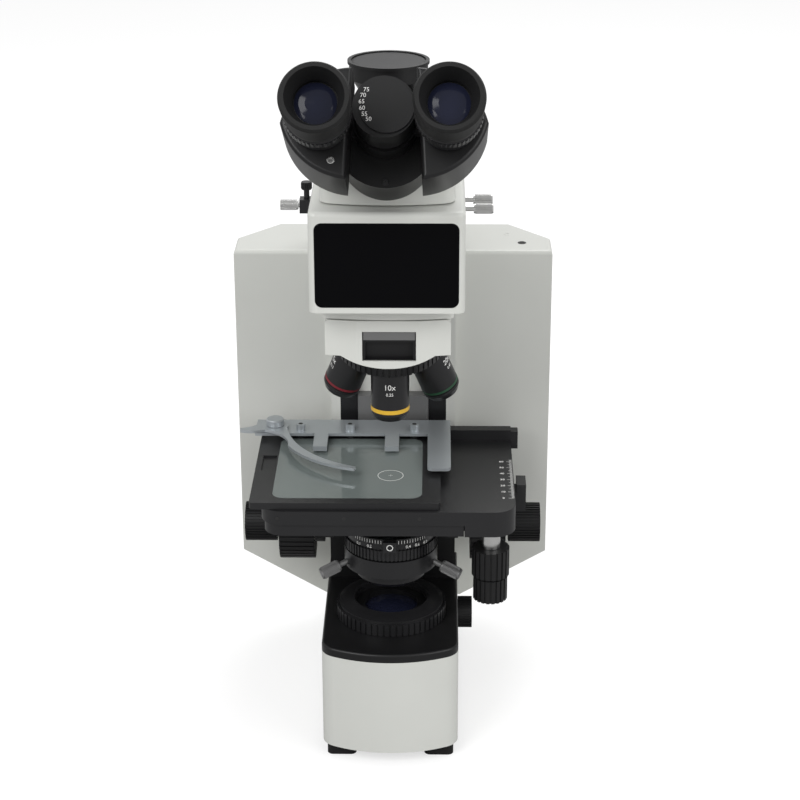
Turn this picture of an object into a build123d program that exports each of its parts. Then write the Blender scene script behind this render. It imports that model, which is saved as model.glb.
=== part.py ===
from build123d import *
import os
from math import cos, radians, sin

# Upright reflected-light microscope with a mechanical stage and a substage condenser.
# Millimetres, +Z up, -Y towards the viewer, origin on the table below the optical axis.

# Clearances
gap = 0.3
shaft_play = 0.06
seat_play = 0.1

# Base
base_width = 93.0
base_front_y = -63.0
base_shoulder_y = -50.0
base_corner_radius = 13.0
base_top_z = 79.0
deck_thickness = 6.0
deck_edge_radius = 1.8
foot_height = 9.0
foot_length = 30.0
foot_width = 20.0
foot_inset = 13.0
foot_recess = 2.0

# Rear housing and column
housing_width = 224.8
housing_front_y = 105.0
housing_back_y = 170.5
housing_top_z = 315.0
housing_side_depth = 31.0
housing_back_width = 168.0
housing_low_corner_z = 81.0
housing_bottom_z = 44.0
housing_bottom_width = 98.0
housing_edge_radius = 3.0
cover_width = 140.0
cover_height = 190.0
cover_thickness = 2.0
cover_center_z = 190.0
column_width = 89.0
column_front_y = 95.0
channel_width = 76.0
channel_depth = 7.0
channel_top_z = 292.0

# Upper arm and nosepiece cover
arm_width = 84.0
arm_front_y = -57.0
arm_front_sag = 4.0
arm_bottom_z = 322.0
arm_top_z = 333.0
cover_arm_width = 80.0
cover_arm_bottom_z = 297.5
belly_half_width = 30.0
belly_depth = 8.5
parting_gap = 0.6
slot_width = 34.2
slot_bottom_z = 294.3
slot_height = 19.8
slot_depth = 52.0
slot_offset_x = 0.8

# Nosepiece: five objectives on a cone whose axis leans back
cone_half_angle = 22.0
apex_z = 332.0
shoulder_distance = 65.0
objective_count = 5
objective_radius = 12.85
objective_lengths = [35.0, 33.5, 37.0, 38.0, 36.0]
turret_top = 46.0
ring_height = 9.6
seat_boss_height = 3.0
ring_radius = 38.0
ring_flutes = 60
mount_radius = 36.5
mount_thickness = 9.0
dome_radius = 34.5
turret_pin_radius = 5.0

# Illuminator housing, head base and head
illuminator_width = 97.0
illuminator_front_y = -75.0
illuminator_back_y = 150.0
illuminator_top_z = 398.0
display_width = 89.2
display_height = 54.6
display_bottom_z = 336.7
display_corner = 4.7
display_depth = 1.2
head_base_width = 84.0
head_base_front_y = -62.0
head_base_back_y = 52.0
head_base_top_z = 427.0
head_base_seam = 0.8
head_tilt = 30.0
head_origin_y = -75.0
head_origin_z = 441.5
pivot_lift = 9.0
drum_radius = 31.0
drum_lift = 3.0
drum_back = 42.0
wing_radius = 44.0
wing_center_x = 18.0
wing_low_center = 11.0
wing_high_center = -10.0
wing_inner_top_x = 18.5
wing_inner_bottom_x = 22.6
wing_reach = 60.0
wing_start = 2.3
wing_depth = 43.5
wing_edge_radius = 2.5
ear_radius = 19.4
ear_width = 9.0
barrel_radius = 15.0
hub_radius = 18.5
hub_start = 24.0
hub_depth = 25.0
hub_face_radius = 16.0
hub_face_height = 1.6
eye_spacing = 75.0
tube_radius = 15.0
tube_length = 15.0
sleeve_radius = 17.0
ring_outer = 19.3
ring_length = 12.0
cup_radius = 20.6
cup_length = 29.0
cup_seat = 12.0
eye_lens_radius = 12.3
cup_mouth_radius = 17.0
port_y = 6.0
tube_block_width = 50.0
tube_block_front_y = -62.0
tube_block_nose = 4.0
tube_block_top_z = 466.0
tube_block_mid_y = -20.0
tube_block_mid_z = 456.0
tube_block_port_z = 446.0
tube_block_back_y = 36.0
tube_block_back_z = 440.0
port_neck_radius = 19.0
port_flange_radius = 25.0
port_skirt = 1.5
port_cone_z = 455.0
port_top_z = 465.5
cap_radius = 26.0
cap_top_z = 474.2
cap_rim = 2.2
cap_recess = 1.0

# Side controls of the illuminator housing
control_z = 381.0
rod_stem_radius = 1.7
rod_head_radius = 3.1
rod_head_length = 12.5
rod_stem_length = 6.0
rod_bore_depth = 20.0
front_rod_y = -9.5
back_rod_y = 11.0
left_rod_y = -2.0
clamp_size = 9.0
clamp_screw_radius = 1.8
clamp_screw_height = 11.0
clamp_knob_radius = 3.2

# Focus drive
knob_y = 60.0
knob_z = 126.0
block_front_y = 51.5
block_top_z = 144.5
coarse_radius = 26.4
coarse_start_x = 55.3
coarse_length = 24.9
coarse_shaft_radius = 7.0
fine_radius = 14.0
fine_start_x = 82.7
fine_length = 22.5
fine_shaft_radius = 4.0
knob_flutes = 40
flute_depth = 0.8
flute_width = 1.3
carriage_width = 50.5
carriage_front_y = 92.0
carriage_bottom_z = 150.0
carriage_top_z = 210.0
bracket_width = 92.0
bracket_front_y = 44.0
bracket_bottom_z = 157.0
cheek_width = 7.0
cheek_front_y = -10.0
cheek_bottom_z = 147.0

# Stage
stage_base_bottom_z = 166.0
stage_base_height = 7.7
stage_left_x = -83.5
stage_right_x = 82.0
stage_front_y = -47.0
stage_back_y = 70.0
stage_corner_radius = 13.0
condenser_opening_radius = 37.0
y_plate_bottom_z = 174.0
y_plate_top_z = 184.0
y_plate_left_x = -85.5
y_plate_right_x = 84.0
y_plate_front_y = -48.0
y_plate_back_y = 81.0
y_slot_half_width = 20.0
y_slot_front = -19.0
y_slot_back = 54.0
drive_left_x = 50.0
drive_back_y = -6.0
travel_back = 4.0
x_plate_left_x = -93.0
x_plate_right_x = 34.0
x_plate_front_y = -45.0
x_plate_thickness = 4.7
x_plate_corner = 3.0
glass_left_x = -78.4
glass_front_y = -37.0
glass_size = 100.0
glass_corner = 8.0
glass_thickness = 2.6
glass_ledge = 4.0
rail_front_y = 72.0
rail_depth = 8.0
rail_top_z = 192.0
rail_left_x = -80.0
rail_end_length = 5.0
rail_end_drop = 6.0
holder_left_x = -97.0
holder_right_x = 41.0
holder_front_y = 60.0
holder_back_y = 85.0
holder_thickness = 2.0
holder_tab_y = 37.0
holder_tab_width = 9.8
holder_tab_x = [-50.0, 0.0]
holder_foot_left_x = 25.0
holder_foot_y = 0.0
holder_corner = 3.5
pillar_radius = 3.0
pillar_y = 66.0
pillar_x = [-65.0, -30.0, 15.5]
screw_head_radius = 3.2
screw_head_height = 5.0
clip_pivot_x = -83.3
clip_pivot_y = 70.0
clip_knob_radius = 6.3
clip_pin_radius = 2.2
clip_knob_height = 4.6
lever_thickness = 2.0
drive_x = 68.0
drive_y = -25.0
drive_tube_radius = 6.0
drive_shaft_radius = 3.0
y_knob_radius = 12.7
y_knob_top_z = 148.0
y_knob_length = 20.0
x_knob_radius = 11.6
x_knob_top_z = 126.6
x_knob_length = 16.6
side_block_y = 5.0
side_block_width = 16.0
side_block_bottom_z = 160.0
side_block_top_z = 180.0
side_block_reach = 6.5
side_block_start_x = 86.0

# Condenser
rail_width = 26.0
rail_front = 43.0
rail_back = 50.0
rail_bottom_z = 116.0
condenser_bottom_z = 115.0
condenser_body_radius = 24.0
carrier_radius = 32.0
carrier_bottom_z = 126.0
carrier_top_z = 138.5
carrier_arm_width = 30.0
aperture_radius = 32.0
aperture_bottom_z = 139.6
aperture_height = 7.4
aperture_flutes = 72
scale_radius = 33.0
scale_height = 9.0
lens_radius = 14.0
lens_height = 4.0
tab_width = 9.0
tab_depth = 3.0
centring_tilt = 20.0
centring_swing = 20.0
centring_start = 27.5
centring_stem_radius = 2.0
centring_stem_length = 12.0
centring_head_radius = 4.0
centring_head_length = 14.5
centring_axis_z = 141.0
height_knob_radius = 9.0
height_knob_x = 47.3
height_knob_length = 7.0
height_knob_y = 36.8
height_knob_z = 131.0
height_shaft_radius = 2.5

# Field ring, lens and intensity dial on the base
field_ring_radius = 38.0
field_ring_height = 9.6
field_groove_radius = 35.9
field_cone_rise = 2.6
field_opening_radius = 25.0
field_ring_flutes = 56
collar_radius = 24.6
collar_wall = 6.0
field_lens_height = 6.0
dial_radius = 11.2
dial_length = 10.0
dial_y = 35.0
dial_z = 66.5
dial_shaft_radius = 3.0

# Mains inlet and switch on the rear cover
inlet_width = 27.0
inlet_height = 20.0
inlet_wall = 2.0
inlet_flange = 2.5
inlet_x = -30.0
inlet_z = 120.0
switch_x = 30.0
switch_width = 14.0
switch_height = 21.0
rocker_seat = 1.6
rocker_foot = 0.4
rocker_tip = 2.6
rocker_valley = 1.7

# Values worked out from the sizes above
deck_top_z = base_top_z + deck_thickness
tilt = radians(cone_half_angle)
turret_down = Vector(0, sin(tilt), -cos(tilt))
head_axis = Vector(0, -cos(radians(head_tilt)), sin(radians(head_tilt)))
head_up = Vector(0, sin(radians(head_tilt)), cos(radians(head_tilt)))
head_start = Vector(0, head_origin_y, head_origin_z)
wing_front = wing_start + wing_depth
holder_bottom_z = rail_top_z + gap
holder_top_z = holder_bottom_z + holder_thickness
x_plate_bottom_z = y_plate_top_z + gap
x_plate_top_z = x_plate_bottom_z + x_plate_thickness
lever_bottom_z = holder_top_z + gap
carriage_back_y = column_front_y + channel_depth - gap
housing_depth = housing_back_y - housing_front_y


def turret_plane(distance):
    return Plane(Vector(0, 0, apex_z) + turret_down * distance, x_dir=(1, 0, 0), z_dir=turret_down)


def head_plane(start, x, lift):
    origin = head_start + head_axis * start + head_up * lift + Vector(x, 0, 0)
    return Plane(origin, x_dir=(1, 0, 0), z_dir=head_axis)


def turned_profile(plane, points):
    # half section in the plane that holds the turning axis: pairs of radius and distance along it
    with BuildSketch(Plane(plane.origin, x_dir=plane.x_dir, z_dir=-plane.y_dir)) as section:
        with BuildLine():
            Polyline(*points, close=True)
        make_face()
    return section.sketch


def fluted_disc(plane, radius, flutes):
    # grip profile with straight grooves round its rim
    with BuildSketch(plane) as section:
        Circle(radius)
        with PolarLocations(radius, flutes):
            Rectangle(2 * flute_depth, flute_width, mode=Mode.SUBTRACT)
    return section.sketch


def ring_profile(plane, outer, inner):
    with BuildSketch(plane) as section:
        Circle(outer)
        Circle(inner, mode=Mode.SUBTRACT)
    return section.sketch


def bow_front_plan(plane, width, front_y, shoulder_y, back_y):
    # plan with straight sides and back and a gently bowed front
    half = width / 2
    with BuildSketch(plane) as section:
        with BuildLine():
            ThreePointArc((-half, shoulder_y), (0, front_y), (half, shoulder_y))
            Polyline((half, shoulder_y), (half, back_y), (-half, back_y), (-half, shoulder_y))
        make_face()
    return section.sketch


def box_plan(plane, left, right, front, back):
    with BuildSketch(plane) as section:
        with Locations(((left + right) / 2, (front + back) / 2)):
            Rectangle(right - left, back - front)
    return section.sketch


# Stand: casting, deck and feet
with BuildPart() as base_casting:
    extrude(bow_front_plan(Plane.XY.offset(foot_height), base_width, base_front_y, base_shoulder_y,
                           housing_back_y), base_top_z - foot_height)
    fillet(base_casting.edges().filter_by(Axis.Z).group_by(Axis.Y)[0], base_corner_radius)
    # the rear housing stands on a ledge behind the column
    extrude(box_plan(Plane.XY.offset(housing_bottom_z), -base_width, base_width, housing_front_y,
                     housing_back_y + gap), base_top_z - housing_bottom_z, mode=Mode.SUBTRACT)
    # bearing hole of the lamp dial
    with BuildSketch(Plane(origin=(base_width / 2, dial_y, dial_z), x_dir=(0, 1, 0), z_dir=(-1, 0, 0))):
        Circle(dial_shaft_radius + shaft_play)
    extrude(amount=dial_length, mode=Mode.SUBTRACT)

with BuildPart() as base_deck:
    extrude(bow_front_plan(Plane.XY.offset(base_top_z), base_width, base_front_y, base_shoulder_y,
                           column_front_y - gap), deck_thickness)
    fillet(base_deck.edges().filter_by(Axis.Z).group_by(Axis.Y)[0], base_corner_radius)
    fillet(base_deck.edges().group_by(Axis.Z)[-1], deck_edge_radius)
    # collar that the field ring turns on
    extrude(ring_profile(Plane.XY.offset(deck_top_z), collar_radius, collar_radius - collar_wall),
            field_ring_height - 2.0)

with BuildPart() as feet:
    foot_x = base_width / 2 - foot_inset
    foot_front_y = base_shoulder_y + foot_inset + foot_recess
    foot_back_y = housing_back_y - foot_inset - foot_recess
    with BuildSketch(Plane.XY):
        for foot_y in (foot_front_y, foot_back_y):
            for side in (-1, 1):
                with Locations((side * foot_x, foot_y)):
                    RectangleRounded(foot_width, foot_length, foot_width / 5)
    extrude(amount=foot_height)

# Column with the channel of the focus slide
with BuildPart() as column:
    extrude(box_plan(Plane.XY.offset(base_top_z), -column_width / 2, column_width / 2, column_front_y,
                     housing_front_y), arm_bottom_z - base_top_z)
    extrude(box_plan(Plane.XY.offset(block_top_z), -channel_width / 2, channel_width / 2, column_front_y - gap,
                     column_front_y + channel_depth), channel_top_z - block_top_z, mode=Mode.SUBTRACT)

with BuildPart() as focus_guides:
    for side in (-1, 1):
        inner_x = side * (carriage_width / 2 + gap)
        outer_x = side * (channel_width / 2)
        extrude(box_plan(Plane.XY.offset(block_top_z), min(inner_x, outer_x), max(inner_x, outer_x),
                         column_front_y + gap, column_front_y + channel_depth), channel_top_z - block_top_z)

with BuildPart() as focus_block:
    extrude(box_plan(Plane.XY.offset(deck_top_z), -column_width / 2, column_width / 2, block_front_y,
                     column_front_y), block_top_z - deck_top_z)
    fillet(focus_block.edges().filter_by(Axis.X).group_by(Axis.Z)[-1].sort_by(Axis.Y)[0], 6.0)
    with BuildSketch(Plane(origin=(-column_width / 2, knob_y, knob_z), x_dir=(0, 1, 0), z_dir=(1, 0, 0))):
        Circle(coarse_shaft_radius + shaft_play)
    extrude(amount=column_width, mode=Mode.SUBTRACT)

# Wide rear housing: sloping lower corners in front view, cut-back rear corners in plan
with BuildPart() as rear_housing:
    half_width = housing_width / 2
    with BuildSketch(Plane.XZ.offset(-housing_front_y)):
        with BuildLine():
            Polyline(
                (-half_width, housing_low_corner_z),
                (-housing_bottom_width / 2, housing_bottom_z),
                (housing_bottom_width / 2, housing_bottom_z),
                (half_width, housing_low_corner_z),
                (half_width, housing_top_z),
                (-half_width, housing_top_z),
                close=True,
            )
        make_face()
    extrude(amount=-housing_depth)
    side_y = housing_front_y + housing_side_depth
    with BuildSketch(Plane.XY):
        with BuildLine():
            Polyline(
                (-half_width, housing_front_y),
                (half_width, housing_front_y),
                (half_width, side_y),
                (housing_back_width / 2, housing_back_y),
                (-housing_back_width / 2, housing_back_y),
                (-half_width, side_y),
                close=True,
            )
        make_face()
    extrude(amount=housing_top_z, mode=Mode.INTERSECT)
    fillet(rear_housing.edges().group_by(Axis.Z)[-1], housing_edge_radius)

with BuildPart() as rear_cover:
    with BuildSketch(Plane.XZ.offset(-housing_back_y)):
        with Locations((0, cover_center_z)):
            RectangleRounded(cover_width, cover_height, 8.0)
        with Locations((inlet_x, inlet_z)):
            Rectangle(inlet_width, inlet_height, mode=Mode.SUBTRACT)
        with Locations((switch_x, inlet_z)):
            Rectangle(switch_width, switch_height, mode=Mode.SUBTRACT)
    extrude(amount=-cover_thickness)

# Rim and pins of the mains inlet, and the frame of the switch beside it
with BuildPart() as rear_fittings:
    with BuildSketch(Plane.XZ.offset(-housing_back_y)):
        with Locations((inlet_x, inlet_z)):
            Rectangle(inlet_width - 2 * seat_play, inlet_height - 2 * seat_play)
            Rectangle(inlet_width - 2 * inlet_wall, inlet_height - 2 * inlet_wall, mode=Mode.SUBTRACT)
    extrude(amount=-(cover_thickness + inlet_flange))
    with BuildSketch(Plane.XZ.offset(-housing_back_y)):
        with Locations((inlet_x, inlet_z)):
            with GridLocations(7.0, 1.0, 3, 1):
                Rectangle(2.0, 4.0)
    extrude(amount=-cover_thickness)

    with BuildSketch(Plane.XZ.offset(-housing_back_y)):
        with Locations((switch_x, inlet_z)):
            Rectangle(switch_width - 2 * seat_play, switch_height - 2 * seat_play)
            Rectangle(switch_width - 2 * inlet_wall, switch_height - 2 * inlet_wall, mode=Mode.SUBTRACT)
    extrude(amount=-(cover_thickness + inlet_flange / 2))

# Rocker: wedge-shaped button that pivots in the middle of the frame
rocker_height = switch_height - 2 * inlet_wall - 1.0
rocker_width = switch_width - 2 * inlet_wall - 1.0
with BuildPart() as switch_rocker:
    rocker_y = housing_back_y + rocker_seat
    with BuildSketch(Plane.YZ.offset(switch_x - rocker_width / 2)):
        with BuildLine():
            Polyline(
                (rocker_y, inlet_z),
                (rocker_y + rocker_foot, inlet_z - rocker_height / 2),
                (rocker_y + rocker_tip, inlet_z - rocker_height / 2),
                (rocker_y + rocker_valley, inlet_z),
                (rocker_y + rocker_tip, inlet_z + rocker_height / 2),
                (rocker_y + rocker_foot, inlet_z + rocker_height / 2),
                close=True,
            )
        make_face()
    extrude(amount=rocker_width)

# Upper arm and the nosepiece cover below it
with BuildPart() as upper_arm:
    extrude(bow_front_plan(Plane.XY.offset(arm_bottom_z), arm_width, arm_front_y, arm_front_y + arm_front_sag,
                           housing_back_y), arm_top_z - arm_bottom_z)
    fillet(upper_arm.edges().filter_by(Axis.Z).group_by(Axis.Y)[0], 4.0)
    # a thin land carries the nosepiece cover and leaves a parting line round it
    extrude(box_plan(Plane.XY.offset(arm_bottom_z - parting_gap), -cover_arm_width / 2 + 4.0,
                     cover_arm_width / 2 - 4.0, arm_front_y + 8.0, column_front_y - 8.0), parting_gap)

with BuildPart() as nosepiece_arm:
    cover_top_z = arm_bottom_z - parting_gap
    front_length = column_front_y - gap - arm_front_y
    with BuildSketch(Plane.XZ.offset(-arm_front_y)):
        with BuildLine():
            half_cover = cover_arm_width / 2
            Polyline(
                (belly_half_width, cover_arm_bottom_z),
                (half_cover, cover_arm_bottom_z),
                (half_cover, cover_top_z),
                (-half_cover, cover_top_z),
                (-half_cover, cover_arm_bottom_z),
                (-belly_half_width, cover_arm_bottom_z),
            )
            ThreePointArc(
                (-belly_half_width, cover_arm_bottom_z),
                (0, cover_arm_bottom_z - belly_depth),
                (belly_half_width, cover_arm_bottom_z),
            )
        make_face()
    extrude(amount=-front_length)
    extrude(bow_front_plan(Plane.XY.offset(cover_arm_bottom_z - belly_depth), cover_arm_width, arm_front_y - 1.0,
                           arm_front_y + arm_front_sag - 1.0, column_front_y),
            arm_top_z - cover_arm_bottom_z + belly_depth, mode=Mode.INTERSECT)
    fillet(nosepiece_arm.edges().filter_by(Axis.Y).group_by(Axis.Z)[-1], 3.5)
    # slot of the slider, open to the front
    with BuildSketch(Plane.XZ.offset(-(arm_front_y - 2.0))):
        with Locations((slot_offset_x, slot_bottom_z + slot_height / 2)):
            Rectangle(slot_width, slot_height)
    extrude(amount=-(slot_depth + 2.0), mode=Mode.SUBTRACT)
    # seat of the nosepiece and room for its turret
    with BuildSketch(turret_plane(turret_top - mount_thickness)):
        Circle(mount_radius + seat_play)
    extrude(amount=mount_thickness, mode=Mode.SUBTRACT)
    with BuildSketch(turret_plane(turret_top - gap)):
        Circle(ring_radius + 2.0)
    extrude(amount=60.0, mode=Mode.SUBTRACT)

with BuildPart() as slider:
    slider_width = slot_width - 2 * gap
    slider_height = slot_height - 2 * gap
    slider_front_y = arm_front_y + 1.2
    with BuildSketch(Plane.XZ.offset(-slider_front_y)):
        with Locations((slot_offset_x, slot_bottom_z + slot_height / 2)):
            Rectangle(slider_width, slider_height)
    extrude(amount=-(slot_depth - 4.0))
    # the lower part of the face is set back as a finger recess
    with BuildSketch(Plane.XZ.offset(-slider_front_y)):
        with Locations((slot_offset_x, slot_bottom_z + gap + slider_height * 0.33)):
            Rectangle(slider_width - 3.0, slider_height * 0.62)
    extrude(amount=-4.0, mode=Mode.SUBTRACT)

# Nosepiece
with BuildPart() as nosepiece_mount:
    with BuildSketch(turret_plane(turret_top - mount_thickness)):
        Circle(mount_radius)
    extrude(amount=mount_thickness - gap)
    with BuildSketch(turret_plane(turret_top - gap)):
        Circle(turret_pin_radius)
    extrude(amount=ring_height)


def objective_plane(index):
    # seat of one objective: the working one points straight down, the rest are turned round the cone
    turned = Vector(0, 0, -1).rotate(Axis((0, 0, 0), turret_down), 360.0 / objective_count * index)
    side = turned.cross(turret_down) if turned.cross(turret_down).length > 0.01 else Vector(1, 0, 0)
    return Plane(Vector(0, 0, apex_z) + turned * shoulder_distance, x_dir=side, z_dir=turned)


cone_rise = (dome_radius - shoulder_distance * sin(tilt)) * sin(tilt) / cos(tilt)
dome_edge = shoulder_distance * cos(tilt) - cone_rise
with BuildPart() as turret:
    revolve(turned_profile(turret_plane(turret_top), [
        (turret_pin_radius + shaft_play, 0),
        (dome_radius, 0),
        (dome_radius, dome_edge - turret_top),
        (shoulder_distance * sin(tilt) - 11.0, shoulder_distance * cos(tilt) - turret_top + 4.4),
        (0, shoulder_distance * cos(tilt) - turret_top + 4.4),
        (0, ring_height + 1.0),
        (turret_pin_radius + shaft_play, ring_height + 1.0),
    ]), Axis((0, 0, apex_z), turret_down))
    # fluted grip round the rim
    with BuildSketch(turret_plane(turret_top)) as grip:
        Circle(ring_radius)
        with PolarLocations(ring_radius, ring_flutes):
            Rectangle(2 * flute_depth, flute_width, mode=Mode.SUBTRACT)
        Circle(dome_radius - 1.0, mode=Mode.SUBTRACT)
    extrude(amount=ring_height)
    # flat seat of each objective
    for index in range(objective_count):
        with BuildSketch(objective_plane(index).offset(-seat_boss_height)):
            Circle(objective_radius - 1.0)
        extrude(amount=seat_boss_height)


def objective_section(length):
    # shoulder, barrel, groove of the colour band, and the stepped nose
    nose = length - 6.0
    return [
        (0, 0),
        (objective_radius - 1.0, 0),
        (objective_radius - 1.0, 1.2),
        (objective_radius, 1.2),
        (objective_radius, nose - 3.0),
        (objective_radius - 0.5, nose - 3.0),
        (objective_radius - 0.5, nose - 1.0),
        (objective_radius, nose - 1.0),
        (objective_radius, nose + 1.0),
        (objective_radius - 2.2, length - 1.0),
        (5.0, length),
        (4.0, length - 0.8),
        (0, length - 0.8),
    ]


with BuildPart() as objective_10x:
    revolve(turned_profile(objective_plane(0), objective_section(objective_lengths[0])),
            Axis(objective_plane(0).origin, objective_plane(0).z_dir))

with BuildPart() as objective_5x:
    revolve(turned_profile(objective_plane(1), objective_section(objective_lengths[1])),
            Axis(objective_plane(1).origin, objective_plane(1).z_dir))

with BuildPart() as objective_100x:
    revolve(turned_profile(objective_plane(2), objective_section(objective_lengths[2])),
            Axis(objective_plane(2).origin, objective_plane(2).z_dir))

with BuildPart() as objective_50x:
    revolve(turned_profile(objective_plane(3), objective_section(objective_lengths[3])),
            Axis(objective_plane(3).origin, objective_plane(3).z_dir))

with BuildPart() as objective_20x:
    revolve(turned_profile(objective_plane(4), objective_section(objective_lengths[4])),
            Axis(objective_plane(4).origin, objective_plane(4).z_dir))

# Illuminator housing with the display let into its front
with BuildPart() as illuminator_housing:
    extrude(box_plan(Plane.XY.offset(arm_top_z), -illuminator_width / 2, illuminator_width / 2,
                     illuminator_front_y, illuminator_back_y), illuminator_top_z - arm_top_z)
    fillet(illuminator_housing.edges().filter_by(Axis.Z), 5.0)
    fillet(illuminator_housing.edges().group_by(Axis.Z)[-1], 3.0)
    with BuildSketch(Plane.XZ.offset(-illuminator_front_y)):
        with Locations((0, display_bottom_z + display_height / 2)):
            RectangleRounded(display_width + 2 * seat_play, display_height + 2 * seat_play, display_corner)
    extrude(amount=-display_depth, mode=Mode.SUBTRACT)
    with BuildSketch(Plane(origin=(illuminator_width / 2, 0, 0), x_dir=(0, 1, 0), z_dir=(1, 0, 0))):
        with Locations((front_rod_y, control_z), (back_rod_y, control_z)):
            Circle(rod_stem_radius + shaft_play)
    extrude(amount=-rod_bore_depth, mode=Mode.SUBTRACT)
    with BuildSketch(Plane(origin=(-illuminator_width / 2, 0, 0), x_dir=(0, 1, 0), z_dir=(1, 0, 0))):
        with Locations((left_rod_y, control_z)):
            Circle(rod_stem_radius + shaft_play)
    extrude(amount=rod_bore_depth, mode=Mode.SUBTRACT)

with BuildPart() as display_panel:
    with BuildSketch(Plane.XZ.offset(-illuminator_front_y)):
        with Locations((0, display_bottom_z + display_height / 2)):
            RectangleRounded(display_width, display_height, display_corner)
    extrude(amount=-display_depth)

with BuildPart() as head_base:
    extrude(bow_front_plan(Plane.XY.offset(illuminator_top_z + head_base_seam), head_base_width,
                           head_base_front_y, head_base_front_y + 6.0, head_base_back_y),
            head_base_top_z - illuminator_top_z - head_base_seam)
    fillet(head_base.edges().filter_by(Axis.Z), 9.0)
    fillet(head_base.edges().group_by(Axis.Z)[-1], 6.0)
    extrude(box_plan(Plane.XY.offset(illuminator_top_z), -30.0, 30.0, head_base_front_y + 14.0,
                     head_base_back_y - 10.0), head_base_seam)

# Black body of the tube head: a round drum on the pivot line, a block that stands on the base,
# the barrel of the prism housings and the camera port
port_plane = Plane((0, port_y, 0))
port_axis = Axis((0, port_y, 0), (0, 0, 1))
with BuildPart() as tube_body:
    with BuildSketch(Plane.YZ.offset(-tube_block_width / 2)):
        with BuildLine():
            Polyline(
                (tube_block_front_y, head_base_top_z),
                (tube_block_front_y + tube_block_nose, tube_block_top_z),
                (tube_block_mid_y, tube_block_mid_z),
                (port_y, tube_block_port_z),
                (tube_block_back_y, tube_block_back_z),
                (tube_block_back_y, head_base_top_z),
                close=True,
            )
        make_face()
    extrude(amount=tube_block_width)
    with BuildSketch(head_plane(-drum_back, 0, drum_lift)):
        Circle(drum_radius)
    extrude(amount=drum_back + wing_start - gap)
    # the drum is cut to the top and front of the white head base
    extrude(box_plan(Plane.XY.offset(head_base_top_z - 2 * drum_radius), -head_base_width, head_base_width,
                     head_base_front_y - 1.0, head_base_back_y), 2 * drum_radius, mode=Mode.SUBTRACT)
    # barrel that both prism housings swing on
    with BuildSketch(head_plane(wing_start - gap, 0, pivot_lift)):
        Circle(barrel_radius)
    extrude(amount=hub_start - wing_start + gap)
    # camera port: neck, cone and flange
    revolve(turned_profile(port_plane, [
        (0, head_base_top_z + 5.0),
        (port_neck_radius, head_base_top_z + 5.0),
        (port_neck_radius, port_cone_z),
        (port_flange_radius - port_skirt, port_top_z - 3.0),
        (port_flange_radius - port_skirt, port_top_z),
        (0, port_top_z),
    ]), port_axis)

with BuildPart() as interpupillary_dial:
    with BuildSketch(head_plane(hub_start, 0, pivot_lift)):
        Circle(hub_radius)
    extrude(amount=hub_depth)
    with BuildSketch(head_plane(hub_start + hub_depth, 1.6, pivot_lift)):
        Circle(hub_face_radius)
    extrude(amount=hub_face_height)


def wing_profile(start, side):
    # lens-shaped half of the head, cut off along a slightly slanting inner edge
    top = wing_radius + wing_high_center
    bottom = wing_low_center - wing_radius
    with BuildSketch(head_plane(start, 0, 0)) as section:
        with Locations((side * wing_center_x, wing_low_center)):
            Circle(wing_radius)
        with Locations((side * wing_center_x, wing_high_center)):
            Circle(wing_radius, mode=Mode.INTERSECT)
        with BuildLine():
            Polyline(
                (side * wing_inner_top_x, top + 5.0),
                (side * wing_inner_bottom_x, bottom - 5.0),
                (side * (wing_center_x + wing_reach), bottom - 5.0),
                (side * (wing_center_x + wing_reach), top + 5.0),
                close=True,
            )
        make_face(mode=Mode.INTERSECT)
    return section.sketch


def ear_profile(start, side):
    # ring round the pivot barrel with a short web to the housing
    with BuildSketch(head_plane(start, 0, pivot_lift)) as section:
        Circle(ear_radius)
        with Locations((side * (ear_radius + 1.0), 0)):
            Rectangle(10.0, 16.0)
        Circle(barrel_radius + shaft_play, mode=Mode.SUBTRACT)
    return section.sketch


with BuildPart() as left_prism_housing:
    extrude(wing_profile(wing_start, -1), wing_depth)
    fillet(left_prism_housing.faces().sort_by(Axis((0, 0, 0), head_axis))[-1].edges(), wing_edge_radius)
    extrude(ear_profile(wing_start, -1), ear_width)

with BuildPart() as right_prism_housing:
    extrude(wing_profile(wing_start, 1), wing_depth)
    fillet(right_prism_housing.faces().sort_by(Axis((0, 0, 0), head_axis))[-1].edges(), wing_edge_radius)
    extrude(ear_profile(wing_start + ear_width + gap, 1), ear_width)

# Eyepieces: tube, sleeve and eye lens, with a turning dioptre ring and a rubber cup
ring_start = tube_length
cup_start = tube_length + ring_length + gap
eyepiece_section = [
    (0, 0),
    (tube_radius, 0),
    (tube_radius, 3.0),
    (sleeve_radius, 3.0),
    (sleeve_radius, ring_start - gap),
    (tube_radius, ring_start - gap),
    (tube_radius, cup_start + cup_seat),
    (eye_lens_radius, cup_start + cup_seat),
    (eye_lens_radius, cup_start + cup_seat + 1.4),
    (eye_lens_radius * 0.6, cup_start + cup_seat + 2.4),
    (0, cup_start + cup_seat + 2.8),
]
dioptre_section = [
    (tube_radius + shaft_play, ring_start),
    (ring_outer - 1.0, ring_start),
    (ring_outer, ring_start + 2.0),
    (ring_outer, ring_start + ring_length - 1.0),
    (ring_outer - 0.8, ring_start + ring_length),
    (tube_radius + shaft_play, ring_start + ring_length),
]
cup_end = cup_start + cup_length
cup_section = [
    (tube_radius + seat_play, cup_start),
    (cup_radius - 1.6, cup_start),
    (cup_radius - 0.6, cup_start + 8.0),
    (cup_radius, cup_end - 3.0),
    (cup_radius - 1.2, cup_end),
    (cup_mouth_radius, cup_end),
    (eye_lens_radius + 0.6, cup_start + cup_seat + 4.0),
    (eye_lens_radius + 0.6, cup_start + cup_seat),
    (tube_radius + seat_play, cup_start + cup_seat),
]
left_eye = head_plane(wing_front, -eye_spacing / 2, 0)
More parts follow.
